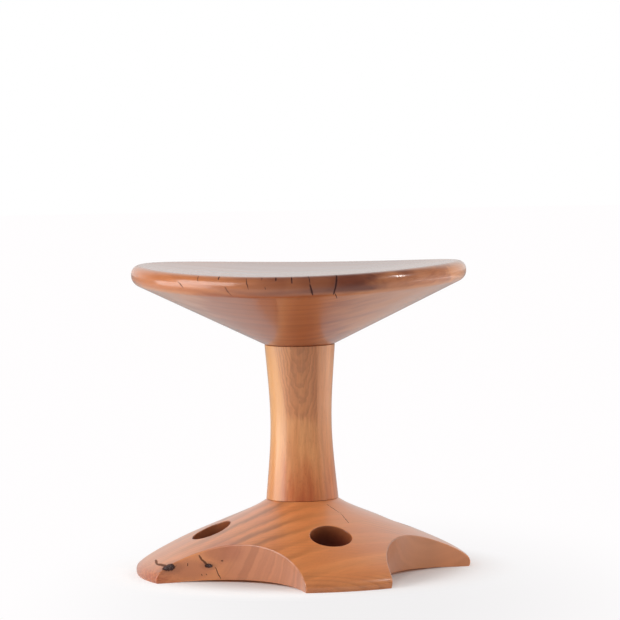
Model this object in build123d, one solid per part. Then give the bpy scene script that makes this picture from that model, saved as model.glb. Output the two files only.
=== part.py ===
from build123d import *
from math import atan2, cos, degrees, radians, sin, sqrt, tan
import os

# Lobi stool: a turned and carved wooden pedestal stool. A saddle-shaped seat stands on a
# waisted column, and the column stands in a low bell whose edge is scalloped into four feet.
# Millimetres, +Z up. The origin is on the floor, at the centre of the base.
# Plan directions are angles from +X towards +Y.

# Base: a turned bell
BASE_RADIUS = 233.3           # widest circle of the rim
BASE_HEIGHT = 100.5           # floor to the joint with the column
NECK_SLOPE = 37.0             # slope of the flank where it meets the column
RIM_SLOPE = 40.0              # slope of the flank where the rim's round begins
RIM_ROUND = 12.0              # radius of the rim's round nose
RIM_NOSE_HEIGHT = 6.0         # height of the widest circle
COVE_WIDTH = 34.5             # hollow curve under the column, from the neck outwards
COVE_DROP = 17.9
ROLL_WIDTH = 38.3             # downward roll, from the rim inwards
ROLL_HEIGHT = 35.2
FOOT_LAND = 19.0              # from the widest circle in to where the hollow begins
HOLLOW_DEPTH = 10.0           # rise of the underside from the foot land to the tenon

# Scallops that leave the feet, and the bore above each foot
FOOT_COUNT = 4
FOOT_DIRECTION = 15.6         # plan direction of the first foot
SCALLOP_RADIUS = 150.0
SCALLOP_DEPTH = 88.3          # how far each scallop bites in from the rim, at the floor
SCALLOP_LEAN = 10.0           # outward lean of the scalloped walls
SCALLOP_EASE = 2.0            # round on the upper edges of the scallops
BORE_DIAMETER = 57.0
BORE_DISTANCE = 132.3         # from the stool's axis to the middle of each bore's mouth
BORE_OFFSET = 1.0             # plan angle from the middle of each foot to its bore
BORE_EASE = 1.2               # round on the mouths of the bores

# Column: a waisted post with a round tenon turned on each end
COLUMN_LENGTH = 215.5         # shoulder to shoulder
COLUMN_FOOT_RADIUS = 50.3
COLUMN_WAIST_RADIUS = 42.7
COLUMN_HEAD_RADIUS = 49.0
COLUMN_WAIST_HEIGHT = 101.0   # above the lower shoulder
COLUMN_FOOT_FLARE = 5.2       # lean of the side at the lower shoulder
COLUMN_HEAD_FLARE = 4.4       # lean of the side at the upper shoulder
JOINT_CHAMFER = 0.7           # eased edge that draws a fine line round each joint
LOWER_TENON_RADIUS = 24.0
LOWER_TENON_RECESS = 1.0      # from the edge of the hollow underside up to the tenon's end
UPPER_TENON_RADIUS = 27.0
UPPER_TENON_LENGTH = 50.0
TENON_CHAMFER = 2.0           # lead-in at the upper tenon's end
GLUE_FILM = 0.15              # gap round each tenon
GLUE_POCKET = 2.0             # spare depth of the seat's blind socket

# Wedge that spreads the lower tenon
WEDGE_LENGTH = 36.0
WEDGE_THICK_END = 5.0
WEDGE_THIN_END = 1.5
WEDGE_DIRECTION = 60.6        # plan direction of the wedge's width
KERF_SPARE = 3.0              # saw cut past the wedge's thin end

# Seat: a turned cone below, an oval plan, and a dished saddle on top
SEAT_HALF_LENGTH = 233.3
SEAT_HALF_WIDTH = 212.0
SEAT_DIRECTION = -9.5         # plan direction of the long axis, where the rim is high
UNDERSIDE_SLOPE = 26.0
END_WALL_SHARE = 0.109        # upright wall at the ends before its rounds, per half length
SIDE_WALL = 25.5              # upright wall at the sides before its rounds
DISH_RADIUS_ACROSS = 2525.0
SEAT_LOWER_ROUND = 15.0       # the two rounds that make the rim's full nose
SEAT_UPPER_ROUND = 12.0
BLANK_SPARE = 1.1             # how far blanks and cutting tools reach past the finished plan

SEAT_JOINT_HEIGHT = BASE_HEIGHT + COLUMN_LENGTH
NECK_RADIUS = COLUMN_FOOT_RADIUS - JOINT_CHAMFER
HUB_RADIUS = COLUMN_HEAD_RADIUS - JOINT_CHAMFER
TENON_END_HEIGHT = HOLLOW_DEPTH + LOWER_TENON_RECESS
COVE_END = (NECK_RADIUS + COVE_WIDTH, BASE_HEIGHT - COVE_DROP)
ROLL_START = (BASE_RADIUS - ROLL_WIDTH, ROLL_HEIGHT)


def direction(slope):
    """Unit vector that runs outwards and down at the given slope."""
    return (cos(radians(slope)), -sin(radians(slope)))


def rise_of_arc(radius, half_chord):
    """How far an arc climbs from its lowest point to the end of its half chord."""
    return radius - sqrt(radius**2 - half_chord**2)


def underside_height(radius):
    """Height of the seat's conical underside above the joint with the column."""
    return (radius - HUB_RADIUS) * tan(radians(UNDERSIDE_SLOPE))


def bell():
    """The turned outside of the base, still with a flat underside."""
    nose_middle = BASE_RADIUS - RIM_ROUND
    nose_start = (
        nose_middle + RIM_ROUND * sin(radians(RIM_SLOPE)),
        RIM_NOSE_HEIGHT + RIM_ROUND * cos(radians(RIM_SLOPE)),
    )
    floor_radius = nose_middle + sqrt(RIM_ROUND**2 - RIM_NOSE_HEIGHT**2)
    with BuildPart() as turned:
        with BuildSketch(Plane.XZ):
            with BuildLine():
                Spline(
                    (NECK_RADIUS, BASE_HEIGHT),
                    COVE_END,
                    ROLL_START,
                    nose_start,
                    tangents=(direction(NECK_SLOPE), direction(RIM_SLOPE)),
                )
                ThreePointArc(nose_start, (BASE_RADIUS, RIM_NOSE_HEIGHT), (floor_radius, 0))
                Polyline((floor_radius, 0), (0, 0), (0, BASE_HEIGHT), (NECK_RADIUS, BASE_HEIGHT))
            make_face()
        revolve()
    return turned.part


def copies_round_axis(shape, first_direction):
    """As many copies of the shape as there are feet, turned about the stool's axis."""
    step = 360.0 / FOOT_COUNT
    return [Rot(0, 0, first_direction + index * step) * shape for index in range(FOOT_COUNT)]


def upper_edges(walls, height):
    """Edges of the given walls whose middle lies above a height."""
    return [edge for wall in walls for edge in wall.edges() if edge.center().Z > height]


def make_base():
    """The bell with a scallop at plan direction 0, so that its turning seam is cut away."""
    middle_of_foot = 180.0 / FOOT_COUNT
    scallop_distance = BASE_RADIUS - SCALLOP_DEPTH + SCALLOP_RADIUS / cos(radians(SCALLOP_LEAN))
    scallop_place = Pos(scallop_distance, 0, 0) * Rot(0, SCALLOP_LEAN, 0)
    scallop = scallop_place * Cylinder(SCALLOP_RADIUS, 4 * BASE_HEIGHT)
    base = bell() - copies_round_axis(scallop, 0)
    scallop_walls = base.faces().filter_by(GeomType.CYLINDER)
    base = fillet(upper_edges(scallop_walls, 0.01), SCALLOP_EASE)

    # The bores stand square to the flank and open into the hollow underside.
    flank_slope = atan2(COVE_END[1] - ROLL_START[1], ROLL_START[0] - COVE_END[0])
    mouth_height = COVE_END[1] - (BORE_DISTANCE - COVE_END[0]) * tan(flank_slope)
    bore_place = Pos(BORE_DISTANCE, 0, mouth_height) * Rot(0, degrees(flank_slope), 0)
    bore = bore_place * Cylinder(BORE_DIAMETER / 2, 2 * BASE_HEIGHT)
    base -= copies_round_axis(bore, middle_of_foot + BORE_OFFSET)
    cylinders = base.faces().filter_by(GeomType.CYLINDER)
    bore_walls = [face for face in cylinders if abs(face.radius - BORE_DIAMETER / 2) < 0.01]
    mouths = [edge for edge in upper_edges(bore_walls, mouth_height / 2) if edge.length > BORE_DIAMETER]
    base = fillet(mouths, BORE_EASE)

    with BuildPart() as hollow:
        with BuildSketch(Plane.XZ):
            Polygon(
                (0, 0),
                (BASE_RADIUS - FOOT_LAND, 0),
                (LOWER_TENON_RADIUS, HOLLOW_DEPTH),
                (0, HOLLOW_DEPTH),
                align=None,
            )
        revolve()
    socket = Cylinder(LOWER_TENON_RADIUS + GLUE_FILM, 3 * BASE_HEIGHT)
    return Rot(0, 0, FOOT_DIRECTION - middle_of_foot) * (base - hollow.part - socket)


def side_of_column():
    """The column's waisted side, from the lower shoulder to the upper one."""
    foot_lean = radians(COLUMN_FOOT_FLARE)
    head_lean = radians(COLUMN_HEAD_FLARE)
    return Spline(
        (COLUMN_FOOT_RADIUS, BASE_HEIGHT + JOINT_CHAMFER),
        (COLUMN_WAIST_RADIUS, BASE_HEIGHT + COLUMN_WAIST_HEIGHT),
        (COLUMN_HEAD_RADIUS, SEAT_JOINT_HEIGHT - JOINT_CHAMFER),
        tangents=((-sin(foot_lean), cos(foot_lean)), (sin(head_lean), cos(head_lean))),
    )


def wedge_shape(length, thick_end, thin_end):
    """A wedge that rises from the lower tenon's end, as wide as the tenon."""
    with BuildPart() as wedge:
        with BuildSketch(Plane.XZ):
            Polygon(
                (-thick_end / 2, TENON_END_HEIGHT),
                (thick_end / 2, TENON_END_HEIGHT),
                (thin_end / 2, TENON_END_HEIGHT + length),
                (-thin_end / 2, TENON_END_HEIGHT + length),
                align=None,
            )
        extrude(amount=LOWER_TENON_RADIUS, both=True)
    tenon = Cylinder(LOWER_TENON_RADIUS, 2 * BASE_HEIGHT)
    return Rot(0, 0, WEDGE_DIRECTION) * (wedge.part & tenon)


def make_wedge():
    return wedge_shape(WEDGE_LENGTH, WEDGE_THICK_END, WEDGE_THIN_END)


def make_column():
    upper_tenon_end = SEAT_JOINT_HEIGHT + UPPER_TENON_LENGTH
    with BuildPart() as turned:
        with BuildSketch(Plane.XZ):
            with BuildLine():
                side = side_of_column()
                Polyline(
                    side @ 1,
                    (HUB_RADIUS, SEAT_JOINT_HEIGHT),
                    (UPPER_TENON_RADIUS, SEAT_JOINT_HEIGHT),
                    (UPPER_TENON_RADIUS, upper_tenon_end - TENON_CHAMFER),
                    (UPPER_TENON_RADIUS - TENON_CHAMFER, upper_tenon_end),
                    (0, upper_tenon_end),
                    (0, TENON_END_HEIGHT),
                    (LOWER_TENON_RADIUS, TENON_END_HEIGHT),
                    (LOWER_TENON_RADIUS, BASE_HEIGHT),
                    (NECK_RADIUS, BASE_HEIGHT),
                    side @ 0,
                )
            make_face()
        revolve()
    saw_cut = wedge_shape(WEDGE_LENGTH + KERF_SPARE, WEDGE_THIN_END, WEDGE_THIN_END)
    return turned.part - saw_cut - make_wedge()


def dish_size():
    """Seat thickness at the middle of the dish, and the dish's radius along the long axis."""
    side_rise = rise_of_arc(DISH_RADIUS_ACROSS, SEAT_HALF_WIDTH)
    middle_thickness = underside_height(SEAT_HALF_WIDTH) + SIDE_WALL - side_rise
    end_wall = END_WALL_SHARE * SEAT_HALF_LENGTH
    end_rise = underside_height(SEAT_HALF_LENGTH) + end_wall - middle_thickness
    return middle_thickness, (SEAT_HALF_LENGTH**2 + end_rise**2) / (2 * end_rise)


def dish_tool():
    """Barrel that hollows the top: its lowest line is the dish, curved along and across."""
    middle_thickness, radius_along = dish_size()
    axle_height = middle_thickness + radius_along
    reach = BLANK_SPARE * SEAT_HALF_WIDTH
    reach_height = middle_thickness + rise_of_arc(DISH_RADIUS_ACROSS, reach)
    with BuildPart() as barrel:
        with BuildSketch(Plane.YZ):
            with BuildLine():
                ThreePointArc((-reach, reach_height), (0, middle_thickness), (reach, reach_height))
                Polyline(
                    (reach, reach_height),
                    (reach, axle_height),
                    (-reach, axle_height),
                    (-reach, reach_height),
                )
            make_face()
        revolve(axis=Axis((0, 0, axle_height), (0, 1, 0)))
    return barrel.part


def rim_edges(seat):
    """The edges round the seat's upright wall, lowest first."""
    wall = seat.faces().filter_by(GeomType.EXTRUSION)[0]
    return wall.edges().filter_by(GeomType.LINE, reverse=True).sort_by(Axis.Z)


def make_seat():
    blank_radius = BLANK_SPARE * SEAT_HALF_LENGTH
    blank_height = 2 * underside_height(blank_radius)
    with BuildPart() as turned:
        with BuildSketch(Plane.XZ):
            Polygon(
                (0, 0),
                (HUB_RADIUS, 0),
                (blank_radius, underside_height(blank_radius)),
                (blank_radius, blank_height),
                (0, blank_height),
                align=None,
            )
        revolve()
    plan = extrude(Ellipse(SEAT_HALF_LENGTH, SEAT_HALF_WIDTH), blank_height)
    seat = (turned.part & plan) - dish_tool()

    # Two rounds turn the square rim into a full nose that rises and falls with the saddle.
    seat = fillet(rim_edges(seat)[0], SEAT_LOWER_ROUND)
    seat = fillet(rim_edges(seat)[-1], SEAT_UPPER_ROUND)

    socket = Cylinder(
        UPPER_TENON_RADIUS + GLUE_FILM,
        UPPER_TENON_LENGTH + GLUE_POCKET,
        align=(Align.CENTER, Align.CENTER, Align.MIN),
    )
    return Pos(0, 0, SEAT_JOINT_HEIGHT) * Rot(0, 0, SEAT_DIRECTION) * (seat - socket)


def main():
    os.makedirs("parts", exist_ok=True)
    export_step(make_base(), "parts/base.step")
    export_step(make_column(), "parts/column.step")
    export_step(make_wedge(), "parts/tenon_wedge.step")
    export_step(make_seat(), "parts/seat.step")


main()
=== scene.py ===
# %% [markdown]
# # A turned stool with a saddle seat
# The stool has four wooden pieces: a dished seat, a waisted column, a bell-shaped base whose edge
# is scalloped into feet, and a hidden wedge in the lower tenon. Their shapes come from the packed
# model. This lesson gives them their wood: growth rings, pores, drying checks, knots, dark joint
# lines and a rubbed oil finish. Wood could also be a picture wrapped round each piece, but that
# breaks at every edge. Here it is procedural: it reads where a point lies in the solid, so the
# grain runs round every corner. Lengths are metres where nothing else is said.

# %% Load the frame
from math import cos, radians, sin, tan
from types import SimpleNamespace

import bpy
from mathutils import Matrix, Vector


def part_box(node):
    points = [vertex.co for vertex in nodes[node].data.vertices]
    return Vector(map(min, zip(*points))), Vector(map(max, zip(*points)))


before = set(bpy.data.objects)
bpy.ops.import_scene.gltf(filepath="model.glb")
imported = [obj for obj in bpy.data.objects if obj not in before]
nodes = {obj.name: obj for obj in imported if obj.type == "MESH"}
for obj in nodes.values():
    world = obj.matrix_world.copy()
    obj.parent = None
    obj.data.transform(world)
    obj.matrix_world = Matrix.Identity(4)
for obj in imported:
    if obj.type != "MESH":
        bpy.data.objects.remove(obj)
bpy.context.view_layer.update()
for name in sorted(nodes):
    low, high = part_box(name)
    print(name, "from", [round(v, 4) for v in low], "to", [round(v, 4) for v in high])

# %% [markdown]
# ## Helpers for shader trees
# Every finish below is a tree of shader nodes. It could be wired by hand in the shader editor. In a
# script it reads like a recipe, if a few helpers keep it short: one places a node and fills its
# sockets, and the others do arithmetic, fade a value between two limits and make noise.

# %% Place a node and fill its sockets
def place(tree, kind, inputs=None, **settings):
    """Adds a node. Its settings come first, because they decide which sockets it has."""
    node = tree.nodes.new(kind)
    for setting, value in settings.items():
        setattr(node, setting, value)
    for key, value in (inputs or {}).items():
        if isinstance(value, bpy.types.NodeSocket):
            tree.links.new(value, node.inputs[key])
        else:
            node.inputs[key].default_value = value
    return node


# %% Do arithmetic on numbers
def calculate(tree, operation, *terms, clamp=False):
    inputs = dict(enumerate(terms))
    return place(tree, "ShaderNodeMath", inputs, operation=operation, use_clamp=clamp).outputs[0]


def product(tree, first, *others):
    """The product of masks is a mask of what lies inside all of them."""
    for other in others:
        first = calculate(tree, "MULTIPLY", first, other)
    return first


def strongest(tree, first, *others):
    """The greatest of masks is a mask of what lies inside any of them."""
    for other in others:
        first = calculate(tree, "MAXIMUM", first, other)
    return first


# %% Do arithmetic on vectors
def vector_from(tree, operation, *terms):
    """A vector worked out from others, such as a place that is shifted or scaled."""
    inputs = dict(enumerate(terms))
    return place(tree, "ShaderNodeVectorMath", inputs, operation=operation).outputs["Vector"]


def measure(tree, operation, *terms):
    """A number worked out from vectors, such as a length."""
    inputs = dict(enumerate(terms))
    return place(tree, "ShaderNodeVectorMath", inputs, operation=operation).outputs["Value"]


def axes(tree, position):
    return place(tree, "ShaderNodeSeparateXYZ", {0: position}).outputs


def plan_radius(tree, parts):
    """The distance from the stool's upright axis."""
    flat = place(tree, "ShaderNodeCombineXYZ", {"X": parts["X"], "Y": parts["Y"]}).outputs[0]
    return measure(tree, "LENGTH", flat)


# %% Fade values and make noise
def fade(tree, value, start, end, low=0.0, high=1.0):
    """Goes smoothly from low to high while the value goes from start to end. A span in the
    cells below holds these numbers: start and end, or all four."""
    inputs = {"Value": value, "From Min": start, "From Max": end, "To Min": low, "To Max": high}
    return place(tree, "ShaderNodeMapRange", inputs, interpolation_type="SMOOTHSTEP").outputs[0]


def weaken(tree, mask, strength):
    return fade(tree, mask, 0.0, 1.0, high=strength)


def outside(tree, mask):
    """The mask of what another mask leaves out."""
    return fade(tree, mask, 1.0, 0.0)


def noise(tree, vector, scale, detail, roughness, seed=0.0):
    inputs = {"Vector": vector, "W": seed, "Scale": scale, "Detail": detail, "Roughness": roughness}
    return place(tree, "ShaderNodeTexNoise", inputs, noise_dimensions="4D").outputs["Fac"]


# %% [markdown]
# ## Node groups
# Rings and fibres are in every piece, drying checks in two, and a knot comes several times on one.
# Their nodes could be copied each time, but a node group is built once, with named inputs and
# outputs, and placed with its own values. A group here hands out only masks, never a shader, so
# it can be baked.

# %% Start a group with its sockets
FLOAT, VECTOR = "NodeSocketFloat", "NodeSocketVector"


def start_group(name, inputs, outputs):
    """A new group with the named sockets, and the values that it is given."""
    tree = bpy.data.node_groups.new(name, "ShaderNodeTree")
    for socket_name, kind, value in inputs:
        socket = tree.interface.new_socket(socket_name, in_out="INPUT", socket_type=kind)
        if value is not None:
            socket.default_value = value
    for socket_name in outputs:
        tree.interface.new_socket(socket_name, in_out="OUTPUT", socket_type=FLOAT)
    return tree, place(tree, "NodeGroupInput").outputs


# %% [markdown]
# ### Growth rings
# A tree grows in rings, so a board shows the distance from the pith, cut into steps one ring wide.
# A wave texture would draw them too, but all of one width. So the distance is measured across the
# X axis, which runs along the fibres, and slow noise makes the rings sway. Three masks come out:
# soft bands as wide as a few good or bad years, one soft stripe per ring, and the thin dark lines
# of late wood, which come and go along the board.

# %% Build the growth rings
RING_SCALE = (0.3, 1.0, 1.0)        # X counts less, so the noise is longer along the fibres
RING_WAVER = 0.8        # in ring widths, as quick noise moves each line
STRIPE_START, STRIPE_END = (0.1, 0.6), (1.0, 0.65)        # shares of a ring's width
LINE_START, LINE_END, LINE_PATCHES = (0.3, 0.85), (1.0, 0.85), (0.4, 0.62)
BAND_SPAN = (0.32, 0.68)


def make_rings():
    tree, given = start_group(
        "growth rings",
        [
            ("Position", VECTOR, None),
            ("Ring Width", FLOAT, 0.01),
            ("Sway", FLOAT, 0.01),
            ("Seed", FLOAT, 0.0),
        ],
        ["Bands", "Stripes", "Lines"],
    )
    seed, here = given["Seed"], vector_from(tree, "MULTIPLY", given["Position"], RING_SCALE)
    slow = noise(tree, here, scale=6.0, detail=2.0, roughness=0.5, seed=seed)
    quick = noise(tree, here, scale=60.0, detail=3.0, roughness=0.55, seed=seed)
    patch = noise(tree, here, scale=16.0, detail=1.0, roughness=0.5, seed=seed)

    parts = axes(tree, given["Position"])
    squares = [calculate(tree, "POWER", parts[axis], 2.0) for axis in ("Y", "Z")]
    radius = calculate(tree, "SQRT", calculate(tree, "ADD", *squares))
    slow = calculate(tree, "SUBTRACT", slow, 0.5)
    radius = calculate(tree, "MULTIPLY_ADD", slow, given["Sway"], radius)
    rings = calculate(tree, "DIVIDE", radius, given["Ring Width"])
    rings = calculate(tree, "MULTIPLY_ADD", quick, RING_WAVER, rings)

    years = {"W": rings, "Scale": 1.0, "Detail": 2.0, "Roughness": 0.55}
    years = place(tree, "ShaderNodeTexNoise", years, noise_dimensions="1D").outputs["Fac"]
    share = calculate(tree, "FRACT", rings)
    stripe = product(tree, fade(tree, share, *STRIPE_START), fade(tree, share, *STRIPE_END))
    line = product(tree, fade(tree, share, *LINE_START), fade(tree, share, *LINE_END))
    line = product(tree, line, fade(tree, patch, *LINE_PATCHES))
    masks = {"Bands": fade(tree, years, *BAND_SPAN), "Stripes": stripe, "Lines": line}
    place(tree, "NodeGroupOutput", masks)
    return tree


rings_group = make_rings()
print("growth rings:", len(rings_group.nodes), "nodes")

# %% [markdown]
# ### Fibres and pores
# Between the rings wood is a bundle of fibres, seen as long streaks, with open pores that look
# like short dark dashes. Strands modelled one by one would be far too many, so all of them are
# noise squeezed across the grain: the less it is squeezed along X, the longer the streaks.

# %% Build the fibres and pores
# How fine each kind of mark is along the fibres and across them.
STREAK_SCALE = (4.0, 40.0, 40.0)
FIBRE_SCALE = (20.0, 380.0, 380.0)
PORE_SCALE = (90.0, 1300.0, 1300.0)
STREAK_SPAN, FIBRE_SPAN, PORE_SPAN = (0.3, 0.7), (0.25, 0.75), (0.6, 0.72)


def make_fibres():
    tree, given = start_group(
        "fibres",
        [("Position", VECTOR, None), ("Seed", FLOAT, 0.0)],
        ["Streaks", "Fibres", "Pores"],
    )
    broad, fine, dashes = [
        vector_from(tree, "MULTIPLY", given["Position"], scale)
        for scale in (STREAK_SCALE, FIBRE_SCALE, PORE_SCALE)
    ]
    seed = given["Seed"]
    streaks = noise(tree, broad, scale=1.0, detail=3.0, roughness=0.55, seed=seed)
    fibres = noise(tree, fine, scale=1.0, detail=3.0, roughness=0.6, seed=seed)
    pores = noise(tree, dashes, scale=1.0, detail=1.0, roughness=0.5, seed=seed)
    masks = {
        "Streaks": fade(tree, streaks, *STREAK_SPAN),
        "Fibres": fade(tree, fibres, *FIBRE_SPAN),
        "Pores": fade(tree, pores, *PORE_SPAN),
    }
    place(tree, "NodeGroupOutput", masks)
    return tree


fibres_group = make_fibres()
print("fibres:", len(fibres_group.nodes), "nodes")

# %% [markdown]
# ### Drying checks
# Thick wood splits at the surface as it dries. Such cracks could be cut into the mesh, but they are
# only a millimetre or two wide and would need very many faces. A check is a thin plane that runs
# into the wood, so the group measures how far a point lies from the plane through two ends and a
# third direction that points into the wood. Noise makes the line wander, and it thins out towards
# both ends.

# %% Build the drying checks
LEAST_HALF_WIDTH = 1e-5        # keeps the ends of a check from being a division by zero
CHECK_EDGE = (1.5, 0.5)        # in half widths


def make_check():
    tree, given = start_group(
        "drying check",
        [
            ("Position", VECTOR, None),
            ("Start", VECTOR, None),
            ("End", VECTOR, None),
            ("Into", VECTOR, None),
            ("Width", FLOAT, 0.001),
            ("Depth", FLOAT, 0.03),
            ("Wander", FLOAT, 0.002),
        ],
        ["Check"],
    )
    run = vector_from(tree, "SUBTRACT", given["End"], given["Start"])
    here = vector_from(tree, "SUBTRACT", given["Position"], given["Start"])
    along = measure(tree, "DOT_PRODUCT", here, run)
    along = calculate(tree, "DIVIDE", along, measure(tree, "DOT_PRODUCT", run, run))
    middle = product(tree, along, calculate(tree, "SUBTRACT", 1.0, along))
    within_ends = calculate(tree, "GREATER_THAN", middle, 0.0)

    across = vector_from(tree, "NORMALIZE", vector_from(tree, "CROSS_PRODUCT", run, given["Into"]))
    aside = measure(tree, "DOT_PRODUCT", here, across)
    wobble = noise(tree, given["Position"], scale=190.0, detail=2.0, roughness=0.6)
    wobble = calculate(tree, "SUBTRACT", wobble, 0.5)
    aside = calculate(tree, "MULTIPLY_ADD", wobble, given["Wander"], aside)

    taper = calculate(tree, "MULTIPLY", middle, 4.0, clamp=True)
    taper = calculate(tree, "POWER", taper, 0.5)
    half_width = product(tree, given["Width"], 0.5, taper)
    half_width = calculate(tree, "ADD", half_width, LEAST_HALF_WIDTH)
    share = calculate(tree, "DIVIDE", calculate(tree, "ABSOLUTE", aside), half_width)

    inwards = calculate(tree, "ABSOLUTE", measure(tree, "DOT_PRODUCT", here, given["Into"]))
    within_depth = calculate(tree, "LESS_THAN", inwards, given["Depth"])
    check = product(tree, fade(tree, share, *CHECK_EDGE), within_depth, within_ends)
    place(tree, "NodeGroupOutput", {"Check": check})
    return tree


check_group = make_check()
print("drying check:", len(check_group.nodes), "nodes")

# %% [markdown]
# ### Knots
# A small dead knot is the root of a twig: a dark spot with a ragged edge and a speckled heart, and
# the wood round it is stained. It lies flush with the turned wood, so no shape is modelled: three
# masks by the distance from its centre are enough.

# %% Build the knots
KNOT_SCALE = (0.62, 0.8, 1.15)        # a knot is longest along X and shortest along Z
CORE_EDGE, SPECKLE_EDGE, STAIN_EDGE = (1.15, 0.8), (0.9, 0.5), (3.0, 0.9)        # in radii
SPECKLE_SPAN = (0.42, 0.6)


def make_knot():
    tree, given = start_group(
        "knot",
        [("Position", VECTOR, None), ("Centre", VECTOR, None), ("Radius", FLOAT, 0.004)],
        ["Core", "Speckle", "Stain"],
    )
    here = vector_from(tree, "SUBTRACT", given["Position"], given["Centre"])
    here = vector_from(tree, "MULTIPLY", here, KNOT_SCALE)
    share = calculate(tree, "DIVIDE", measure(tree, "LENGTH", here), given["Radius"])
    ragged = noise(tree, given["Position"], scale=420.0, detail=3.0, roughness=0.6)
    share = calculate(tree, "ADD", share, calculate(tree, "SUBTRACT", ragged, 0.5))
    grains = noise(tree, given["Position"], scale=900.0, detail=2.0, roughness=0.7)
    speckle = product(tree, fade(tree, grains, *SPECKLE_SPAN), fade(tree, share, *SPECKLE_EDGE))
    core, halo = fade(tree, share, *CORE_EDGE), fade(tree, share, *STAIN_EDGE)
    place(tree, "NodeGroupOutput", {"Core": core, "Speckle": speckle, "Stain": halo})
    return tree


knot_group = make_knot()
print("knot:", len(knot_group.nodes), "nodes")

# %% [markdown]
# ## A wood from its parts
# The pieces come from much the same wood, so all four finishes share one recipe. Each could be
# wired on its own, but then every change to the grain would be made four times. The rings and
# fibres tint a base colour, stains and marks go on top, and the same masks drive the roughness
# and the height of a bump. What differs is how the log lies in the piece: the pith is moved to
# the origin, and a Mapping node turns the fibres onto X.

# %% Lay the log in a piece
def use_group(tree, group, inputs):
    return place(tree, "ShaderNodeGroup", inputs, node_tree=group).outputs


def start_wood(name, fibre_turn, pith, ring_width, sway, seed):
    """A new material's tree, with the place in the piece, the place in the log and the grain."""
    material = bpy.data.materials.new(name)
    material.use_nodes = True
    tree = material.node_tree
    tree.nodes.clear()
    position = place(tree, "ShaderNodeTexCoord").outputs["Object"]
    turn = {"Vector": vector_from(tree, "SUBTRACT", position, pith), "Rotation": fibre_turn}
    in_log = place(tree, "ShaderNodeMapping", turn, vector_type="POINT").outputs[0]
    rings = {"Position": in_log, "Ring Width": ring_width, "Sway": sway, "Seed": seed}
    return SimpleNamespace(
        material=material,
        tree=tree,
        position=position,
        in_log=in_log,
        rings=use_group(tree, rings_group, rings),
        fibres=use_group(tree, fibres_group, {"Position": in_log, "Seed": seed}),
    )


def fray(wood, value, by):
    """A coordinate shifted by the streaks, so that a mask on it ends like wood, not like paint."""
    return calculate(wood.tree, "MULTIPLY_ADD", wood.fibres["Streaks"], by, value)


# %% Mix colours
def shade(red, green, blue):
    """A colour mixed on a paint scale of 0 to 255, as the linear light that shaders work in."""
    parts = [v / 255 for v in (red, green, blue)]
    linear = [v / 12.92 if v <= 0.04045 else ((v + 0.055) / 1.055) ** 2.4 for v in parts]
    return (*linear, 1.0)


def blend(tree, mask, under, over, blend_type="MIX"):
    """Covers one colour with another where the mask is."""
    inputs = {0: mask, 6: under, 7: over}
    return place(
        tree, "ShaderNodeMix", inputs, data_type="RGBA", blend_type=blend_type
    ).outputs[2]


def stain(tree, mask, colour, tint):
    """Darkens a colour where the mask is, as a stain does: the grain still shows through."""
    return blend(tree, mask, colour, tint, "MULTIPLY")


# %% Mix the grain of one piece
FIBRE_SHARE = 0.6        # fibres are fainter than pores


def add_grain(wood, tones, band_share, line_share, fine_share):
    """Soft streaks and bands between two tones, then dark lines, fibres and pores over them."""
    tree, rings, fibres = wood.tree, wood.rings, wood.fibres
    light, middle, late = tones
    tone = product(tree, rings["Bands"], band_share)
    tone = calculate(tree, "MULTIPLY_ADD", fibres["Streaks"], 1.0 - band_share, tone)
    colour = blend(tree, tone, middle, light)
    if line_share:
        colour = blend(tree, weaken(tree, rings["Lines"], line_share), colour, late)
    gaps = fade(tree, fibres["Fibres"], 1.0, 0.0, high=FIBRE_SHARE * fine_share)
    colour = blend(tree, gaps, colour, late)
    return blend(tree, weaken(tree, fibres["Pores"], fine_share), colour, late)


MM = 0.001


def add_checks(tree, position, checks, depth):
    return strongest(tree, *[
        use_group(
            tree,
            check_group,
            {
                "Position": position,
                "Start": [v * MM for v in start],
                "End": [v * MM for v in end],
                "Into": into,
                "Width": width * MM,
                "Depth": depth * MM,
            },
        )["Check"]
        for start, end, into, width in checks
    ])


# %% Rub on the oil
SMOOTHER, ROUGHER = -0.02, 0.05        # how far the streaks vary the roughness
STREAK_RISE, MARK_RISE = 0.5, -12.0        # heights in the bump's own unit
BUMP_UNIT = 0.00005
MARK_ROUGHNESS = 0.6        # added where a mark is


def finish_wood(wood, colour, roughness, coat_roughness, marks=None):
    """Adds the shader, its roughness and its bump, and hands back the finished material. Marks
    are sunken and rough, and have no coat."""
    tree, streaks = wood.tree, wood.fibres["Streaks"]
    rough = fade(tree, streaks, 0.0, 1.0, roughness + SMOOTHER, roughness + ROUGHER)
    height = product(tree, streaks, STREAK_RISE)
    coat = 1.0
    if marks is not None:
        rough = calculate(tree, "MULTIPLY_ADD", marks, MARK_ROUGHNESS, rough, clamp=True)
        height = calculate(tree, "MULTIPLY_ADD", marks, MARK_RISE, height)
        coat = outside(tree, marks)
    bump = {"Height": height, "Strength": 1.0, "Distance": BUMP_UNIT}
    finish = {
        "Base Color": colour,
        "Roughness": rough,
        "Normal": place(tree, "ShaderNodeBump", bump).outputs[0],
        "Specular IOR Level": 0.5,
        "Coat Weight": coat,
        "Coat Roughness": coat_roughness,
    }
    shader = place(tree, "ShaderNodeBsdfPrincipled", finish).outputs[0]
    place(tree, "ShaderNodeOutputMaterial", {"Surface": shader})
    return wood.material


def dress(node_name, material):
    """Gives a piece its wood by filling its material slots."""
    for slot in nodes[node_name].material_slots:
        slot.material = material
    print(node_name, "wears", material.name, "with", len(material.node_tree.nodes), "nodes")


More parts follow.
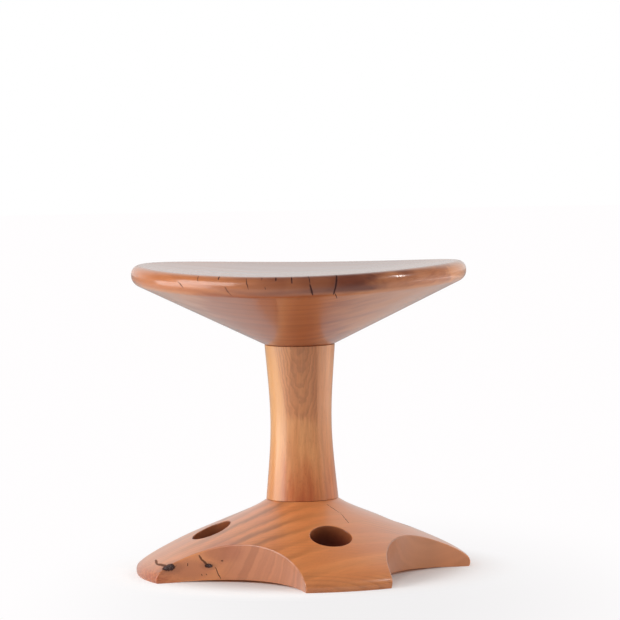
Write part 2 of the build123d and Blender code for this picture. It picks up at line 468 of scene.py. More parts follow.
# %% [markdown]
# ## The seat
# The seat is carved from a thick board whose fibres run along its long axis, nearly along X. The
# pith lies far below, so the rings are nearly level and show as long soft bands on the rim and the
# underside. The wood is golden at the left end, and a brown heart shows in the rim, right of the
# middle. Its right end is painted paler, as painted light, and the underside gets painted shade in
# its middle and painted light at its ends. Each tint could be a material of its own on some of the
# faces, but its edge would be hard. A mask along X has a soft edge, and the streaks fray it.

# %% List the seat's checks
# Start, end and width of each check in the rim, in millimetres. All run towards the axis.
SEAT_RIM_MARKS = [
    ((-133.0, -161.0, 421.0), (-134.5, -168.0, 414.0), 0.9),
    ((-105.0, -176.0, 421.0), (-106.0, -182.0, 415.5), 1.5),
    ((-69.0, -194.0, 419.0), (-67.0, -202.0, 404.0), 0.9),
    ((-48.5, -199.0, 420.5), (-48.5, -203.0, 415.5), 0.8),
    ((-30.5, -203.0, 420.5), (-30.0, -207.0, 414.5), 1.8),
    ((-9.5, -205.0, 421.0), (-8.5, -211.0, 411.0), 1.7),
    ((-45.0, -207.0, 408.0), (-44.0, -208.0, 404.0), 0.8),
    ((-163.0, -147.0, 414.0), (-154.0, -154.4, 404.5), 0.6),
    ((-159.0, -149.0, 412.0), (-156.0, -153.4, 406.5), 0.5),
    ((-99.0, -189.9, 408.0), (-89.0, -189.0, 395.0), 0.8),
    ((13.0, -204.0, 422.0), (15.5, -212.0, 410.0), 0.9),
    ((14.6, -210.0, 411.5), (18.5, -208.0, 395.0), 2.4),
    ((50.5, -200.0, 423.0), (46.5, -208.0, 396.0), 2.3),
    ((46.5, -208.0, 400.0), (52.0, -192.0, 388.0), 0.9),
]
SEAT_CHECKS = [
    (start, end, Vector((-start[0], -start[1], 0.0)).normalized(), width)
    for start, end, width in SEAT_RIM_MARKS
]
SEAT_CHECK_DEPTH = 30.0
print("marks that make the seat's checks:", len(SEAT_CHECKS))

# %% Mask the seat's rim
SEAT_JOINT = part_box("seat")[0].z
HUB_RADIUS, UNDERSIDE_SLOPE = 0.0483, 26.0        # the cone's inner radius, and degrees
RIM_EDGE = (0.0005, 0.004)        # heights above the cone
print("the seat rests on the column at", round(SEAT_JOINT, 4))


def seat_rim(tree, parts):
    """A mask on the wood above the underside's cone, so on the rim and the top."""
    outwards = calculate(tree, "SUBTRACT", plan_radius(tree, parts), HUB_RADIUS)
    slope = tan(radians(UNDERSIDE_SLOPE))
    cone = calculate(tree, "MULTIPLY_ADD", outwards, slope, SEAT_JOINT)
    return fade(tree, calculate(tree, "SUBTRACT", parts["Z"], cone), *RIM_EDGE)


# %% Choose the seat's tints
# Tones are the light, the middle and the late wood. Most spans lie along X, in metres.
SEAT_TONES = shade(202, 128, 82), shade(176, 104, 66), shade(130, 74, 48)
SEAT_GOLD, GOLD_SPAN = shade(202, 118, 60), (-0.02, -0.18, 0.0, 0.6)
# The right end's paler tint is painted light, where light from the right falls on it.
SEAT_END_LIGHT, END_LIGHT_SPAN = shade(228, 156, 104), (0.225, 0.26, 0.0, 0.7)
# The underside's duller middle is painted shade, and its paler ends are painted light.
UNDER_MIDDLE_SHADE, UNDER_MIDDLE_SHADE_SPAN = shade(234, 214, 200), (0.14, 0.05)
UNDER_ENDS_LIGHT, UNDER_ENDS_LIGHT_SPAN = shade(230, 158, 106), (0.06, 0.15, 0.0, 0.5)
SEAT_HEART, HEART_CLOUDS = shade(158, 124, 114), (0.3, 0.6, 0.75, 1.0)
HEART_LEFT, HEART_RIGHT, HEART_FRONT = (-0.13, 0.08), (0.19, 0.12), (-0.12, -0.19, 0.2, 1.0)
CHECK_COLOUR = shade(62, 20, 12)


def shade_and_light_underside(tree, colour, under, along):
    """Painted shade in the underside's middle and painted light at its ends."""
    aside = calculate(tree, "ABSOLUTE", along)
    middle = product(tree, under, fade(tree, aside, *UNDER_MIDDLE_SHADE_SPAN))
    colour = stain(tree, middle, colour, UNDER_MIDDLE_SHADE)
    ends = product(tree, under, fade(tree, aside, *UNDER_ENDS_LIGHT_SPAN))
    return blend(tree, ends, colour, UNDER_ENDS_LIGHT)


def seat_heart(tree, position, parts, rim, along):
    """A cloudy mask on the brown heart in the front of the rim."""
    clouds = noise(tree, position, scale=26.0, detail=1.0, roughness=0.5, seed=3.0)
    return product(
        tree,
        fade(tree, along, *HEART_LEFT),
        fade(tree, along, *HEART_RIGHT),
        fade(tree, clouds, *HEART_CLOUDS),
        rim,
        fade(tree, parts["Y"], *HEART_FRONT),
    )


# %% Mix the seat's wood
def make_seat_wood():
    wood = start_wood(
        "seat_wood",
        fibre_turn=(radians(8), 0.0, radians(9.5)),
        pith=(0.0, 0.25, -0.35),
        ring_width=0.011,
        sway=0.06,
        seed=1.3,
    )
    tree, position = wood.tree, wood.position
    parts = axes(tree, position)
    along, rim = fray(wood, parts["X"], by=0.06), seat_rim(tree, parts)
    colour = add_grain(wood, SEAT_TONES, band_share=0.5, line_share=0.09, fine_share=0.08)
    colour = blend(tree, fade(tree, along, *GOLD_SPAN), colour, SEAT_GOLD)
    # Painted light on the right end.
    colour = blend(tree, fade(tree, along, *END_LIGHT_SPAN), colour, SEAT_END_LIGHT)
    # Painted shade and painted light on the underside.
    colour = shade_and_light_underside(tree, colour, outside(tree, rim), along)
    colour = stain(tree, seat_heart(tree, position, parts, rim, along), colour, SEAT_HEART)
    checks = add_checks(tree, position, SEAT_CHECKS, SEAT_CHECK_DEPTH)
    colour = blend(tree, checks, colour, CHECK_COLOUR)
    return finish_wood(wood, colour, roughness=0.31, coat_roughness=0.14, marks=checks)


dress("seat", make_seat_wood())

# %% [markdown]
# ## The column
# The column stands with its fibres upright, so the log is turned until X points up. Its left side
# is golden sapwood. Part of the front is darker heartwood that ends in ragged tongues, with a dark
# band at its right edge. The foot has a red tint right of the middle, and the side beyond gets
# painted shade.
# All this could be painted onto the mesh by hand, but that needs very many small faces. Masks by
# height and by X don't, and noise that is drawn out along the fibres frays their edges.

# %% Mask the column's heartwood
# Spans by height, by X and by Y, and how far noise moves the edges along them, in metres.
HEART_BOTTOM, HEART_START, HEART_END = (0.17, 0.192), (0.014, 0.024), (0.031, 0.024)
BAND_BOTTOM, BAND_START, BAND_END = (0.17, 0.23), (0.017, 0.024), (0.031, 0.025)
COLUMN_FRONT = (-0.01, -0.02)
HEART_LEAN = 0.16        # how far the left edge moves left for each metre of height
TONGUE_SCALE = (260.0, 260.0, 22.0)
TONGUE_DROP, SLOW_DROP, TONGUE_SHIFT = -0.036, -0.03, 0.008


def heartwood(tree, position, parts):
    """Masks on the dark patch on the column's upper front and on the band at its right edge."""
    tongues = vector_from(tree, "MULTIPLY", position, TONGUE_SCALE)
    tongues = noise(tree, tongues, scale=1.0, detail=3.0, roughness=0.6)
    slow = noise(tree, position, scale=28.0, detail=1.0, roughness=0.5)
    height = calculate(tree, "MULTIPLY_ADD", tongues, TONGUE_DROP, parts["Z"])
    height = calculate(tree, "MULTIPLY_ADD", slow, SLOW_DROP, height)
    side = calculate(tree, "MULTIPLY_ADD", tongues, TONGUE_SHIFT, parts["X"])
    leaning_side = calculate(tree, "MULTIPLY_ADD", parts["Z"], HEART_LEAN, side)
    front = fade(tree, parts["Y"], *COLUMN_FRONT)
    heart = product(
        tree,
        fade(tree, height, *HEART_BOTTOM),
        fade(tree, leaning_side, *HEART_START),
        fade(tree, side, *HEART_END),
        front,
    )
    band = product(
        tree,
        fade(tree, side, *BAND_START),
        fade(tree, side, *BAND_END),
        fade(tree, height, *BAND_BOTTOM),
        front,
    )
    return heart, band


# %% Draw the arched lines and the joint lines
ARCH_CENTRE, ARCH_SCALE = (0.0, -0.045, 0.5), (1.0, 1.0, 0.12)
ARCH_SPACING, ARCH_SWAY = 0.0027, 0.006
ARCH_RISE, ARCH_FALL = (0.2, 0.8), (1.0, 0.8)        # shares of the spacing
BASE_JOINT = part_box("base")[1].z
JOINT_SPAN = (0.0009, 0.0002, 0.0, 0.65)        # by height above or below a joint
print("the column stands on the base at", round(BASE_JOINT, 4))


def arches(tree, position):
    """Faint arched lines, where a cut runs nearly along the rings."""
    here = vector_from(tree, "SUBTRACT", position, ARCH_CENTRE)
    distance = measure(tree, "LENGTH", vector_from(tree, "MULTIPLY", here, ARCH_SCALE))
    waves = noise(tree, position, scale=60.0, detail=2.0, roughness=0.6)
    distance = calculate(tree, "MULTIPLY_ADD", waves, ARCH_SWAY, distance)
    share = calculate(tree, "FRACT", calculate(tree, "DIVIDE", distance, ARCH_SPACING))
    return product(tree, fade(tree, share, *ARCH_RISE), fade(tree, share, *ARCH_FALL))


def joint_lines(tree, height):
    """A mask on the thin dark lines where the column meets the seat and the base."""
    upper, lower = [
        calculate(tree, "ABSOLUTE", calculate(tree, "SUBTRACT", height, joint))
        for joint in (SEAT_JOINT, BASE_JOINT)
    ]
    return fade(tree, calculate(tree, "MINIMUM", upper, lower), *JOINT_SPAN)


# %% Choose the column's tints
COLUMN_TONES = shade(242, 175, 114), shade(218, 144, 87), shade(158, 94, 58)
SAPWOOD, SAPWOOD_SPAN = shade(240, 174, 102), (-0.012, -0.026, 0.0, 0.7)
HEARTWOOD, HEARTWOOD_STRENGTH = shade(234, 216, 205), 0.7
HEART_BAND, HEART_BAND_STRENGTH = shade(214, 186, 174), 0.25
ARCH_STRENGTH = 0.34
FOOT, FOOT_SPAN = shade(242, 220, 200), (0.17, 0.07)
# The right side's dull tint is painted shade.
RIGHT_SIDE_SHADE, RIGHT_SIDE_SHADE_SPAN = shade(240, 224, 200), (0.02, 0.05)
RED_FOOT, RED_STRENGTH = shade(222, 162, 112), 0.8
RED_LEFT, RED_RIGHT = (-0.02, 0.002, 0.05, 1.0), (0.034, 0.016, 0.3, 1.0)
JOINT_COLOUR = shade(96, 44, 28)


def tint_foot(wood, colour, parts):
    """A browner foot, painted shade on the right side and, where the two meet, a red tint."""
    tree, side = wood.tree, fray(wood, parts["X"], by=0.02)
    foot = fade(tree, fray(wood, parts["Z"], by=-0.05), *FOOT_SPAN)
    colour = stain(tree, foot, colour, FOOT)
    # Painted shade on the column's right side.
    colour = stain(tree, fade(tree, side, *RIGHT_SIDE_SHADE_SPAN), colour, RIGHT_SIDE_SHADE)
    red = product(tree, foot, fade(tree, side, *RED_LEFT), fade(tree, side, *RED_RIGHT))
    return stain(tree, weaken(tree, red, RED_STRENGTH), colour, RED_FOOT)


# %% Mix the column's wood
def make_column_wood():
    wood = start_wood(
        "column_wood",
        fibre_turn=(0.0, radians(88), radians(2)),
        pith=(0.16, 0.12, 0.2),
        ring_width=0.009,
        sway=0.016,
        seed=4.1,
    )
    tree, position = wood.tree, wood.position
    parts = axes(tree, position)
    side = fray(wood, parts["X"], by=0.012)
    colour = add_grain(wood, COLUMN_TONES, band_share=0.4, line_share=0.22, fine_share=0.32)
    colour = blend(tree, fade(tree, side, *SAPWOOD_SPAN), colour, SAPWOOD)

    heart, band = heartwood(tree, position, parts)
    colour = stain(tree, weaken(tree, heart, HEARTWOOD_STRENGTH), colour, HEARTWOOD)
    colour = stain(tree, weaken(tree, band, HEART_BAND_STRENGTH), colour, HEART_BAND)
    arched = product(tree, arches(tree, position), heart, ARCH_STRENGTH)
    colour = blend(tree, arched, colour, COLUMN_TONES[2])

    colour = tint_foot(wood, colour, parts)
    joints = joint_lines(tree, parts["Z"])
    colour = blend(tree, joints, colour, JOINT_COLOUR)
    return finish_wood(wood, colour, roughness=0.33, coat_roughness=0.2, marks=joints)


dress("column", make_column_wood())

# %% [markdown]
# ## The base
# The base is turned from a board whose pith lies behind it, to the left and above, so its rings are
# tilted. They show as soft stripes that climb the left flank and fade at the front, where thin
# level lines take over, and as leaning ribbons on the pinker walls of the scallops. Two small dead
# knots with tails and a tiny third one sit on the left foot. One set of rings through the whole
# board would miss some of these, so the front and the walls have rings of their own.

# %% List the base's checks, stains and knots
# Start, end, direction into the wood and width of each check, in millimetres.
INTO_FLANK, INTO_WALL, DOWN = (0.0, 0.3, -1.0), (0.0, 1.0, 0.0), (0.0, 0.0, -1.0)
BASE_CHECKS = [
    ((-121.0, -112.8, 21.0), (-113.1, -111.3, 3.5), INTO_WALL, 1.0),
    ((-158.1, -111.6, 27.0), (-158.3, -111.6, 22.5), INTO_WALL, 1.0),
    ((-139.5, -109.0, 11.5), (-138.5, -109.0, 8.5), INTO_WALL, 0.9),
    ((-133.5, -109.0, 11.5), (-132.0, -109.0, 9.5), INTO_WALL, 0.8),
    ((33.0, -44.0, 96.5), (52.0, -58.0, 86.5), DOWN, 0.7),
    ((52.0, -58.0, 86.5), (69.0, -97.0, 68.5), DOWN, 0.7),
]
# The knots' tails, given in the same way.
BASE_TAILS = [
    ((-204.0, -62.0, 27.0), (-200.5, -90.0, 23.5), INTO_FLANK, 3.4),
    ((-202.0, -84.0, 24.0), (-186.0, -113.0, 20.4), INTO_FLANK, 4.6),
    ((-142.5, -113.0, 38.0), (-137.6, -112.6, 28.5), INTO_WALL, 2.6),
    ((-139.4, -112.6, 32.0), (-130.0, -111.6, 22.5), INTO_WALL, 3.2),
]
BASE_CHECK_DEPTH = 12.0
# Centre and radius of the red-brown stains and of the knots, in millimetres.
BASE_STAINS = [
    ((-108.0, -117.0, 44.0), 9.0),
    ((-152.0, -112.0, 17.0), 8.0),
]
BASE_KNOTS = [
    ((-184.8, -114.8, 22.2), 6.4),
    ((-129.3, -111.8, 22.6), 3.5),
    ((-111.0, -116.0, 29.8), 0.9),
]
print("checks in the base:", len(BASE_CHECKS), "knots:", len(BASE_KNOTS))

# %% [markdown]
# ### Bores and scallops
# The bores get painted shade that deepens inside them, and the scallops' walls are paler and
# pinker than the turned flank. The faces could be picked out by hand, but a mask by the distance
# from a cylinder's axis has its edge where the tool cut. Folding the plan into half a quarter turn
# first makes one bore or one scallop stand for all four.

# %% Measure from a bore's or a scallop's axis
FOLD = radians(45.0)


def near_axis(tree, position, direction, point, tilt):
    """How far each point lies along and off one of four tilted axes, turned into the first one."""
    parts = axes(tree, position)
    turn = calculate(tree, "ARCTAN2", parts["Y"], parts["X"])
    turn = calculate(tree, "SUBTRACT", turn, radians(direction))
    turn = calculate(tree, "PINGPONG", turn, FOLD)
    radius = plan_radius(tree, parts)
    folded = {
        "X": product(tree, radius, calculate(tree, "COSINE", turn)),
        "Y": product(tree, radius, calculate(tree, "SINE", turn)),
        "Z": parts["Z"],
    }
    folded = place(tree, "ShaderNodeCombineXYZ", folded).outputs[0]
    here = vector_from(tree, "SUBTRACT", folded, point)
    axis = (sin(radians(tilt)), 0.0, cos(radians(tilt)))
    off_axis = measure(tree, "LENGTH", vector_from(tree, "CROSS_PRODUCT", here, axis))
    return measure(tree, "DOT_PRODUCT", here, axis), off_axis


# %% Mask the bores and the scallops' walls
# The measures of the cylinders that cut the base: metres, and degrees for directions and leans.
BORE_DIRECTION, BORE_TILT, BORE_RADIUS = 16.6, 23.14, 0.0285
BORE_MOUTH = (0.1323, 0.0, 0.062)
SCALLOP_DIRECTION, SCALLOP_LEAN, SCALLOP_RADIUS = 60.6, 10.0, 0.15
SCALLOP_FOOT = (0.2973, 0.0, 0.0)
# A mask's edge lies just off the cylinder, in the wood.
BORE_EDGE = (BORE_RADIUS + 0.0007, BORE_RADIUS + 0.0002)
SCALLOP_EDGE = (SCALLOP_RADIUS + 0.0014, SCALLOP_RADIUS + 0.0005)
BORE_SHADE_SPAN = (0.004, -0.034, 0.6, 1.0)        # by the way along the bore, outwards from its mouth


def bore_shade(tree, position):
    """A mask of painted shade that is low at a bore's mouth and grows to 1 deep inside it."""
    along, off_axis = near_axis(tree, position, BORE_DIRECTION, BORE_MOUTH, BORE_TILT)
    return product(tree, fade(tree, off_axis, *BORE_EDGE), fade(tree, along, *BORE_SHADE_SPAN))


def scallop_wall(tree, position):
    """A mask on the walls of the scallops."""
    off_axis = near_axis(tree, position, SCALLOP_DIRECTION, SCALLOP_FOOT, SCALLOP_LEAN)[1]
    return fade(tree, off_axis, *SCALLOP_EDGE)


# %% Stripe the flank
STRIPES, STRIPES_RIGHT = shade(160, 96, 54), (0.05, -0.05, 0.15, 1.0)
STRIPES_LEFT, STRIPES_BANDS = (-0.2, -0.1, 0.3, 1.0), (0.0, 1.0, 0.35, 0.85)
LEVEL_LINES, LEVEL_STRENGTH = shade(160, 92, 50), 0.3
LEVEL_PITH = (0.0, 0.42, 0.37)
LEVEL_RINGS = {"Ring Width": 0.0075, "Sway": 0.022, "Seed": 5.0}
LEVEL_SPAN = (0.9, 0.2)        # by the stripes' own mask: where they fade, the lines show


def stripe_flank(wood, colour, parts, wall):
    """Soft stripes on the left of the flank and thin level lines on the rest of it."""
    tree, flank = wood.tree, outside(wood.tree, wall)
    left = product(
        tree,
        fade(tree, parts["X"], *STRIPES_RIGHT),
        fade(tree, parts["X"], *STRIPES_LEFT),
        fade(tree, wood.rings["Bands"], *STRIPES_BANDS),
    )
    stripes = product(tree, wood.rings["Stripes"], left, flank)
    colour = blend(tree, stripes, colour, STRIPES)

    level = {"Position": vector_from(tree, "SUBTRACT", wood.position, LEVEL_PITH), **LEVEL_RINGS}
    level = use_group(tree, rings_group, level)["Lines"]
    front = product(tree, fade(tree, left, *LEVEL_SPAN), flank)
    level = product(tree, level, weaken(tree, front, LEVEL_STRENGTH))
    return blend(tree, level, colour, LEVEL_LINES)


# %% Colour the scallops' walls and the left foot's tip
RIBBON_TONES = shade(197, 130, 97), shade(172, 108, 80)
RIBBON_RINGS = {"Ring Width": 0.011, "Sway": 0.03, "Seed": 2.0}
# The outer walls' lighter, warmer tint is painted light.
WALL_LIGHT, WALL_LIGHT_SPAN = shade(240, 158, 102), (0.1, 0.15, 0.0, 0.75)
PINK_LEFT, PINK_RIGHT = (-0.14, -0.08, 0.1, 0.75), (0.11, 0.17, 1.0, 0.5)
# A stretch of the right scallop's wall is darkened as painted shade.
WALL_SHADE, WALL_SHADE_LEFT, WALL_SHADE_RIGHT = shade(226, 228, 228), (0.05, 0.12), (0.21, 0.17)
FOOT_TIP, TIP_SPAN = shade(206, 150, 110), (-0.14, -0.2)
TIP_TOP, TIP_GAPS = (0.027, 0.008), (0.2, 0.7, 1.0, 0.45)


def colour_walls(wood, colour, parts, wall):
    """Painted light on the outer walls, pink ribboned inner ones and painted shade on a stretch on
    the right.
    """
    tree, across = wood.tree, parts["X"]
    aside = calculate(tree, "ABSOLUTE", across)
    # Painted light on the outer walls.
    lit_walls = product(tree, wall, fade(tree, aside, *WALL_LIGHT_SPAN))
    colour = blend(tree, lit_walls, colour, WALL_LIGHT)
    ribbons = {"Position": wood.in_log, **RIBBON_RINGS}
    ribbons = use_group(tree, rings_group, ribbons)["Bands"]
    ribbons = blend(tree, ribbons, *RIBBON_TONES)
    pink = product(tree, wall, fade(tree, across, *PINK_LEFT), fade(tree, across, *PINK_RIGHT))
    colour = blend(tree, pink, colour, ribbons)
    # Painted shade on a stretch of the right wall.
    shaded_walls = product(tree, wall, fade(tree, across, *WALL_SHADE_LEFT), fade(tree, across, *WALL_SHADE_RIGHT))
    return stain(tree, shaded_walls, colour, WALL_SHADE)


def darken_tip(wood, colour, parts):
    """A darker red-brown tint on the lower edge of the left foot's tip, broken up by the fibres."""
    tree, across = wood.tree, fray(wood, parts["X"], by=0.02)
    tip = product(tree, fade(tree, across, *TIP_SPAN), fade(tree, parts["Z"], *TIP_TOP))
    tip = product(tree, tip, fade(tree, wood.fibres["Fibres"], *TIP_GAPS))
    return stain(tree, tip, colour, FOOT_TIP)


# %% Set the knots, the stains and the checks
STAIN_COLOUR, STAIN_STRENGTH = shade(166, 86, 60), 0.4
KNOT_STAIN, KNOT_STAIN_STRENGTH = shade(130, 70, 44), 0.35
MARK_COLOUR, TAIL_STRENGTH = shade(58, 30, 26), 0.8
SPECKLE_COLOUR, SPECKLE_STRENGTH = shade(120, 108, 106), 0.6


def add_knot(tree, position, centre, radius):
    inputs = {"Position": position, "Centre": [v * MM for v in centre], "Radius": radius * MM}
    return use_group(tree, knot_group, inputs)


def mark_base(tree, position, colour):
    """The colour with all stains and marks on it, and a mask of the sunken marks."""
    for centre, radius in BASE_STAINS:
        spot = add_knot(tree, position, centre, radius)["Stain"]
        colour = blend(tree, weaken(tree, spot, STAIN_STRENGTH), colour, STAIN_COLOUR)
    knots = [add_knot(tree, position, centre, radius) for centre, radius in BASE_KNOTS]
    for knot in knots:
        halo = weaken(tree, knot["Stain"], KNOT_STAIN_STRENGTH)
        colour = blend(tree, halo, colour, KNOT_STAIN)
    checks = add_checks(tree, position, BASE_CHECKS, BASE_CHECK_DEPTH)
    tails = add_checks(tree, position, BASE_TAILS, BASE_CHECK_DEPTH)
    cores = [knot["Core"] for knot in knots]
    marks = strongest(tree, checks, *cores, product(tree, tails, TAIL_STRENGTH))
    colour = blend(tree, marks, colour, MARK_COLOUR)
    speckles = strongest(tree, *[knot["Speckle"] for knot in knots])
    colour = blend(tree, weaken(tree, speckles, SPECKLE_STRENGTH), colour, SPECKLE_COLOUR)
    return colour, marks


# %% Mix the base's wood
BASE_TONES = shade(232, 150, 90), shade(217, 132, 76), shade(162, 96, 60)
# The bores' painted shade, deepest inside them.
BORE_SHADE_COLOUR, BORE_SHADE_STRENGTH = shade(104, 42, 31), 0.95


def make_base_wood():
    wood = start_wood(
        "base_wood",
        fibre_turn=(0.0, 0.0, radians(-32)),
        pith=(-0.41, 0.44, 0.46),
        ring_width=0.026,
        sway=0.045,
        seed=7.7,
    )
    tree, position = wood.tree, wood.position
    parts, wall = axes(tree, position), scallop_wall(tree, position)
    colour = add_grain(wood, BASE_TONES, band_share=0.5, line_share=0.0, fine_share=0.2)
    colour = stripe_flank(wood, colour, parts, wall)
    colour = colour_walls(wood, colour, parts, wall)
    colour = darken_tip(wood, colour, parts)
    colour, marks = mark_base(tree, position, colour)
    # Painted shade inside the bores.
    bores = weaken(tree, bore_shade(tree, position), BORE_SHADE_STRENGTH)
    colour = blend(tree, bores, colour, BORE_SHADE_COLOUR)
    return finish_wood(wood, colour, roughness=0.35, coat_roughness=0.28, marks=marks)


dress("base", make_base_wood())

# %% [markdown]
# ## The wedge
# The wedge in the lower tenon is a sliver of plain dark hardwood, seen only from below. A single
# colour would do, but the same recipe with narrow rings gives it grain at no cost.

# %% Mix the wedge's wood
WEDGE_TONES = shade(120, 72, 46), shade(92, 52, 34), shade(66, 38, 26)


def make_wedge_wood():
    wood = start_wood(
        "wedge_wood",
        fibre_turn=(0.0, radians(90), 0.0),
        pith=(0.0, 0.05, 0.0),
        ring_width=0.002,
        sway=0.002,
        seed=2.2,
    )
    colour = add_grain(wood, WEDGE_TONES, band_share=0.5, line_share=0.5, fine_share=0.3)
    return finish_wood(wood, colour, roughness=0.5, coat_roughness=0.3)


dress("tenon_wedge", make_wedge_wood())

# %% [markdown]
# ## Floor and backdrop
# A studio has a white sheet that curves up behind the object, and the curve can show as a grey
# band. So here the floor is a flat matte plane that fades into a white world. The camera sees it
# lifted to pure white, more on the left as painted light, while it keeps the stool's soft shadow.
# A faint grey pool in front of it is a painted shadow. From below the floor is clear, so that a
# view from there shows the underside.

# %% Mix the floor
FLOOR_SIZE = 30.0
FLOOR_COLOUR = (0.77, 0.76, 0.755, 1.0)
SHADOW_POOL_COLOUR = (1.0, 0.985, 0.99, 1.0)
WHITE = (1.0, 1.0, 1.0, 1.0)
FLOOR_LIFT = (0.15, 0.26, 0.0, 0.34)        # glow added by the distance from the stool
# More lift on the left is painted light, as if the lamps on the left lit the floor there.
PAINTED_LIGHT_ACROSS = (0.1, -0.05, 0.7, 1.1)        # and how much of it, from right to left
FLOOR_FADE = (0.2, 0.31)        # by the same distance: from the lifted floor to plain white
# The pool is a painted shadow: grey on the floor in front of the stool.
SHADOW_POOL_CENTRE, SHADOW_POOL_SCALE = (0.08, -0.34, 0.0), (1.0, 0.45, 1.0)
SHADOW_POOL_SPAN = (0.05, 0.5, 0.885, 1.0)


def mix_shaders(tree, share, first, second):
    return place(tree, "ShaderNodeMixShader", {0: share, 1: first, 2: second}).outputs[0]


def make_floor_material():
    material = bpy.data.materials.new("studio_floor")
    material.use_nodes = True
    tree = material.node_tree
    tree.nodes.clear()
    position = place(tree, "ShaderNodeTexCoord").outputs["Object"]
    distance = measure(tree, "LENGTH", position)
    matte = place(tree, "ShaderNodeBsdfDiffuse", {"Color": FLOOR_COLOUR}).outputs[0]
    # The lift is stronger on the left, as painted light.
    across = fade(tree, axes(tree, position)["X"], *PAINTED_LIGHT_ACROSS)
    lift = {"Color": WHITE, "Strength": product(tree, fade(tree, distance, *FLOOR_LIFT), across)}
    lift = place(tree, "ShaderNodeEmission", lift).outputs[0]
    lifted = place(tree, "ShaderNodeAddShader", {0: matte, 1: lift}).outputs[0]

    # A painted shadow: the white emission is dimmed in a pool in front of the stool.
    in_front = vector_from(tree, "SUBTRACT", position, SHADOW_POOL_CENTRE)
    shadow_pool = measure(tree, "LENGTH", vector_from(tree, "MULTIPLY", in_front, SHADOW_POOL_SCALE))
    white = {"Color": SHADOW_POOL_COLOUR, "Strength": fade(tree, shadow_pool, *SHADOW_POOL_SPAN)}
    white = place(tree, "ShaderNodeEmission", white).outputs[0]
    faded = mix_shaders(tree, fade(tree, distance, *FLOOR_FADE), lifted, white)

    seen = place(tree, "ShaderNodeLightPath").outputs["Is Camera Ray"]
    behind = place(tree, "ShaderNodeNewGeometry").outputs["Backfacing"]
    clear = place(tree, "ShaderNodeBsdfTransparent").outputs[0]
    surface = mix_shaders(tree, behind, mix_shaders(tree, seen, matte, faded), clear)
    place(tree, "ShaderNodeOutputMaterial", {"Surface": surface})
    return material


# %% Lay the floor
def lay_floor():
    bpy.ops.mesh.primitive_plane_add(size=FLOOR_SIZE, location=(0.0, 0.0, 0.0))
    floor = bpy.context.object
    floor.name = "floor"
    floor.data.materials.append(make_floor_material())
    print(floor.name, "is", FLOOR_SIZE, "m wide")


lay_floor()

# %% [markdown]
# ## Light
# The backdrop is white and the side of the room behind the camera is dim, so the wood is deep in
# front and its outline glows. A picture of a studio could light it all at once, but lamps can be
# moved one by one. A soft box to the left of the camera makes the long highlight on the rim, with
# a sheet of tracing paper beside it that adds light but no highlight. A box at each side brightens
# the flanks, a small lamp above the camera lifts the front of the base, and a narrow one on the
# right adds a glint.

# %% Set the world
# The world's strength by the direction's Y: dim behind the camera, brighter behind the stool.
ROOM_LIGHT, BACKDROP_LIGHT, MIRRORED_LIGHT = 0.2, 0.55, 0.72
LIT_SPAN = (-0.6, 0.35, ROOM_LIGHT, BACKDROP_LIGHT)
MIRRORED_SPAN = (0.35, 0.8, ROOM_LIGHT, MIRRORED_LIGHT)


def make_world():
    world = bpy.data.worlds.new("studio")
    bpy.context.scene.world = world
    world.use_nodes = True
    tree = world.node_tree
    tree.nodes.clear()
    path = place(tree, "ShaderNodeLightPath").outputs
    depth = axes(tree, place(tree, "ShaderNodeTexCoord").outputs["Generated"])["Y"]
    lit, mirrored = fade(tree, depth, *LIT_SPAN), fade(tree, depth, *MIRRORED_SPAN)
    glossy = strongest(tree, path["Is Glossy Ray"], path["Is Transmission Ray"])
    power = place(tree, "ShaderNodeMix", {0: glossy, 2: lit, 3: mirrored}).outputs[0]
    power = place(tree, "ShaderNodeMix", {0: path["Is Camera Ray"], 2: power, 3: 1.0}).outputs[0]
    light = place(tree, "ShaderNodeBackground", {"Color": WHITE, "Strength": power})
    place(tree, "ShaderNodeOutputWorld", {"Surface": light.outputs[0]})
    print("world:", world.name, "with", len(tree.nodes), "nodes")


make_world()

# %% Hang the lamps
# Each box's name, turn and rise in degrees, width and height, watts, and whether it is mirrored.
# One that isn't mirrored gives light but no highlight, as a large sheet of tracing paper does.
SOFT_BOXES = [
    ("key_box", -64.0, 22.0, 1.4, 1.0, 14.5, True),
    ("key_sheet", -64.0, 22.0, 1.4, 1.0, 9.0, False),
    ("left_box", -82.0, 0.0, 1.7, 0.7, 9.0, True),
    ("front_lamp", -26.0, 46.0, 0.35, 0.35, 6.0, False),
    ("right_box", 100.0, 0.0, 1.7, 0.7, 21.0, False),
    ("glint_lamp", 67.0, 34.0, 0.14, 0.45, 3.6, True),
]
STOOL_MIDDLE, LAMP_DISTANCE = Vector((0.0, 0.0, 0.25)), 1.9


def add_lamp(name, shape, width, power):
    data = bpy.data.lights.new(name, "AREA")
    data.shape, data.size, data.energy = shape, width, power
    lamp = bpy.data.objects.new(name, data)
    bpy.context.scene.collection.objects.link(lamp)
    return lamp


def hang_soft_box(name, turn, rise, width, height, power, mirrored):
    """A rectangle lamp that faces the stool's middle. The turn goes to the right from straight
    behind the camera, and the rise is above the middle."""
    level = cos(radians(rise))
    towards = Vector((sin(radians(turn)) * level, -cos(radians(turn)) * level, sin(radians(rise))))
    lamp = add_lamp(name, "RECTANGLE", width, power)
    lamp.data.size_y = height
    lamp.location = STOOL_MIDDLE + LAMP_DISTANCE * towards
    lamp.rotation_mode = "QUATERNION"
    lamp.rotation_quaternion = (-towards).to_track_quat("-Z", "Y")
    lamp.visible_glossy = mirrored
    print(name, "at", [round(v, 2) for v in lamp.location])


for box in SOFT_BOXES:
    hang_soft_box(*box)

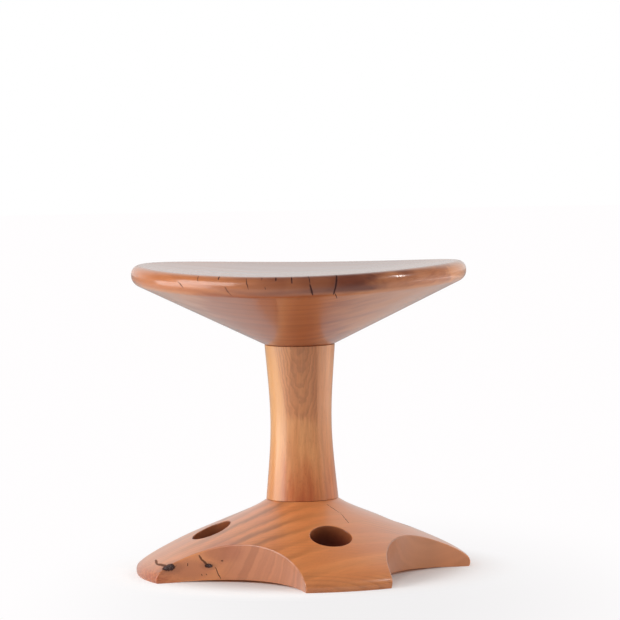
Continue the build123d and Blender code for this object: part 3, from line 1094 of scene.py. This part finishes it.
# %% Light the underside for views from below
BELOW_WIDTH, BELOW_POWER, BELOW_DISTANCE = 0.6, 2.6, 1.3


def light_from_below():
    """A lamp under the floor that shines on the base alone and that the floor doesn't stop."""
    lamp = add_lamp("lamp_below", "DISK", BELOW_WIDTH, BELOW_POWER)
    lamp.location = (0.0, 0.0, -BELOW_DISTANCE)
    lamp.rotation_euler = (radians(180.0), 0.0, 0.0)
    lamp.visible_camera = lamp.visible_glossy = False
    lit, blocking = bpy.data.collections.new("lit"), bpy.data.collections.new("blocking")
    lit.objects.link(nodes["base"])
    for node in nodes.values():
        blocking.objects.link(node)
    lamp.light_linking.receiver_collection = lit
    lamp.light_linking.blocker_collection = blocking
    print(lamp.name, "at", [round(v, 2) for v in lamp.location])


light_from_below()

# %% [markdown]
# ## Camera
# Furniture is mostly seen from a few metres away, so the lens is long and the stool's lines stay
# nearly parallel. The camera stands a little above the seat, turned and rolled slightly. It could
# track an empty at the stool's middle, but three angles say the same without a constraint.

# %% Set the camera
LENS, SENSOR = 198.76, 36.0        # millimetres
CAMERA_PLACE = (0.0, -4.752, 0.6607)
PITCH, YAW, ROLL = 0.0626, 0.0032, 0.0177        # radians

camera_data = bpy.data.cameras.new("camera")
camera_data.lens, camera_data.sensor_width = LENS, SENSOR
camera = bpy.data.objects.new("camera", camera_data)
bpy.context.scene.collection.objects.link(camera)
bpy.context.scene.camera = camera
ahead = Vector((sin(YAW) * cos(PITCH), cos(YAW) * cos(PITCH), -sin(PITCH)))
right = ahead.cross(Vector((0.0, 0.0, 1.0))).normalized()
above = right.cross(ahead)
rolled_right = cos(ROLL) * right - sin(ROLL) * above
rolled_above = cos(ROLL) * above + sin(ROLL) * right
turned = Matrix((rolled_right, rolled_above, -ahead)).transposed()
camera.location = CAMERA_PLACE
camera.rotation_mode = "QUATERNION"
camera.rotation_quaternion = turned.to_quaternion()
bpy.context.scene.view_settings.view_transform = "Standard"
print("camera at", CAMERA_PLACE, "with a lens of", LENS, "mm")
